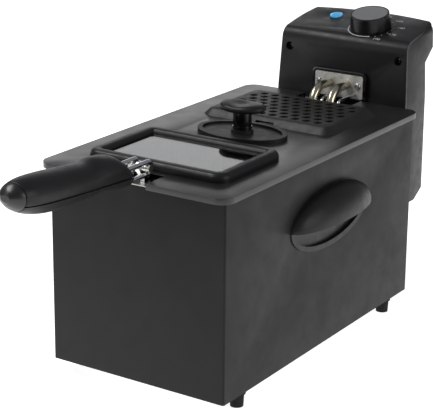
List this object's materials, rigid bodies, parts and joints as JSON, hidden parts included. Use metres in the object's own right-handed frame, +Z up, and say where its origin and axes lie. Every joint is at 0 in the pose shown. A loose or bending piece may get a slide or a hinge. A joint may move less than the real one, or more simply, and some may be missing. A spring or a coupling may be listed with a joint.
{
  "type": "deep fryer",
  "caption": "Box-shaped electric deep fryer with a lift-off windowed lid, wire basket with a long front handle, lift-out oil pan and a hang-on control unit with heater.",
  "frame": {"origin": "on the surface the feet stand on, under the middle of the bounding box, basket grip included", "axes": "+Z up, +Y to the rear (control unit), -Y to the front (basket grip), +X to the right seen from the front"},
  "size_m": [0.2264, 0.5931, 0.2874],
  "materials": {
    "painted_sheet": "satin powder coat",
    "lid_enamel": "satin enamel",
    "black_plastic": "fine satin",
    "gloss_black": "gloss",
    "rubber": "matte",
    "stainless": "brushed",
    "zinc_steel": "plain",
    "chrome": "polished",
    "heater_sheath": "heat-tinted",
    "glass": "clear",
    "silicone": "matte",
    "dial_print": "printed",
    "knob_top": "satin",
    "lamp_blue": "translucent",
    "neon_glass": "clear",
    "ceramic": "matte",
    "wire_insulation": "satin",
    "button_red": "gloss",
    "filter_foam": "fibrous"
  },
  "bodies": {
    "base": {"housing": "painted_sheet", "base_plate": "zinc_steel", "feet": "rubber", "foot_screws": "zinc_steel", "side_handle_left": "black_plastic", "side_handle_right": "black_plastic", "handle_screws": "zinc_steel", "guide_rails": "zinc_steel", "rail_rivets": "zinc_steel"},
    "pan": {"oil_pan": "stainless"},
    "control_unit": {"front_shell": "black_plastic", "rear_cover": "black_plastic", "hanger_plate": "zinc_steel", "case_screws": "zinc_steel", "rear_screws": "zinc_steel", "dial_ring": "dial_print", "lamp_lens": "lamp_blue", "neon_lamp": "neon_glass", "thermostat": "ceramic", "element_block": "gloss_black", "element_plate": "stainless", "element_screws": "chrome", "heating_element": "heater_sheath", "sensor_tubes": "chrome", "sensor_clamp": "stainless", "terminal_block": "ceramic", "lead_wires": "wire_insulation", "thermal_cutout": "ceramic", "microswitch": "gloss_black", "cord_gland": "rubber"},
    "thermostat_knob": {"knob": "black_plastic", "knob_insert": "knob_top", "knob_shaft": "stainless"},
    "reset": {"reset_button": "button_red"},
    "plunger": {"switch_plunger": "ceramic"},
    "basket": {"basket_mesh": "chrome", "basket_hoops": "chrome", "basket_struts": "chrome", "basket_feet": "chrome", "basket_bracket": "chrome", "pivot_pin": "stainless"},
    "basket_handle": {"handle_wires": "chrome", "grip_upper": "black_plastic", "grip_lower": "black_plastic", "grip_end_cap": "gloss_black"},
    "lid": {"lid_panel": "lid_enamel", "lid_liner": "stainless", "window_frame": "black_plastic", "window_glass": "glass", "window_seal": "silicone", "lid_handle_base": "black_plastic", "lid_handle_stem": "gloss_black", "lid_handle_cap": "black_plastic", "lid_handle_screw": "zinc_steel", "filter_tray": "stainless", "filter_mat": "filter_foam"},
    "vent_cover": {"filter_cover": "black_plastic"}
  },
  "joints": [
    {"name": "pan_lift", "type": "slide", "parent": "base", "child": "pan", "axis": [0, 0, 1], "range_m": [0, 0.19]},
    {"name": "control_unit_lift", "type": "slide", "parent": "pan", "child": "control_unit", "axis": [0, 0, 1], "range_m": [0, 0.19]},
    {"name": "basket_lift", "type": "slide", "parent": "control_unit", "child": "basket", "axis": [0, 0, 1], "range_m": [0, 0.16]},
    {"name": "lid_lift", "type": "slide", "parent": "basket", "child": "lid", "axis": [0, 0, 1], "range_m": [0, 0.1]},
    {"name": "filter_cover_lift", "type": "slide", "parent": "lid", "child": "vent_cover", "axis": [0, 0, 1], "range_m": [0, 0.03]},
    {"name": "handle_fold", "type": "hinge", "parent": "basket", "child": "basket_handle", "pos_m": [0, -0.12095, 0.2097], "axis": [-1, 0, 0], "range_deg": [0, 60]},
    {"name": "thermostat_turn", "type": "hinge", "parent": "control_unit", "child": "thermostat_knob", "pos_m": [0.0163, 0.25685, 0.26736], "axis": [0, -0.2079, 0.9781], "range_deg": [-270, 0]},
    {"name": "reset_press", "type": "slide", "parent": "control_unit", "child": "reset", "axis": [0, -1, 0], "range_m": [0, 0.003], "stiffness_N_per_m": 600},
    {"name": "plunger_press", "type": "slide", "parent": "control_unit", "child": "plunger", "axis": [0, 1, 0], "range_m": [0, 0.0025], "stiffness_N_per_m": 400}
  ]
}
